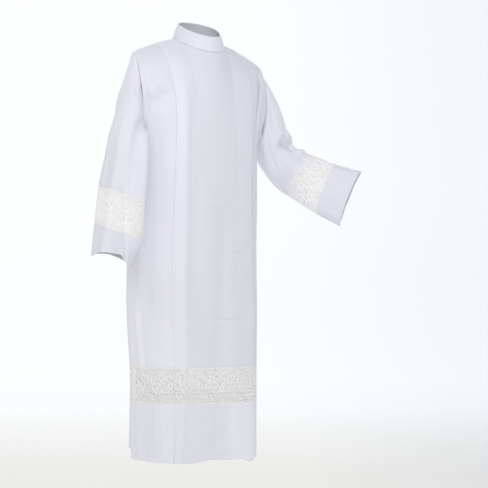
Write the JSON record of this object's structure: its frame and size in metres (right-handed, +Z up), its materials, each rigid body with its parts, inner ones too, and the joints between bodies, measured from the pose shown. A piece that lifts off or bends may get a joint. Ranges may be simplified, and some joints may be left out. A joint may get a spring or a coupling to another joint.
{
  "type": "alb robe",
  "caption": "Full-length white alb with a stand collar, two front box pleats, wide sleeves and open lace bands round the sleeves and skirt, in its worn shape",
  "frame": {"origin": "middle of the neck opening at the height of the shoulder seams beside the collar, where the garment hangs on its wearer", "axes": "+Z up, the garment's front faces -Y, +X towards the wearer's left sleeve"},
  "size_m": [0.9107, 0.4958, 1.402],
  "materials": {
    "white_cloth": "smooth white polyester suiting with a faint sheen",
    "white_lace": "matt off-white openwork lace"
  },
  "bodies": {
    "root": {"back": "white_cloth", "collar": "white_cloth", "front": "white_cloth", "hem_band_back": "white_cloth", "hem_band_front": "white_cloth", "left_cuff": "white_cloth", "left_sleeve": "white_cloth", "left_sleeve_lace_inner": "white_lace", "left_sleeve_lace_outer": "white_lace", "right_cuff": "white_cloth", "right_sleeve": "white_cloth", "right_sleeve_lace_inner": "white_lace", "right_sleeve_lace_outer": "white_lace", "skirt_lace_back": "white_lace", "skirt_lace_front": "white_lace"}
  },
  "joints": []
}
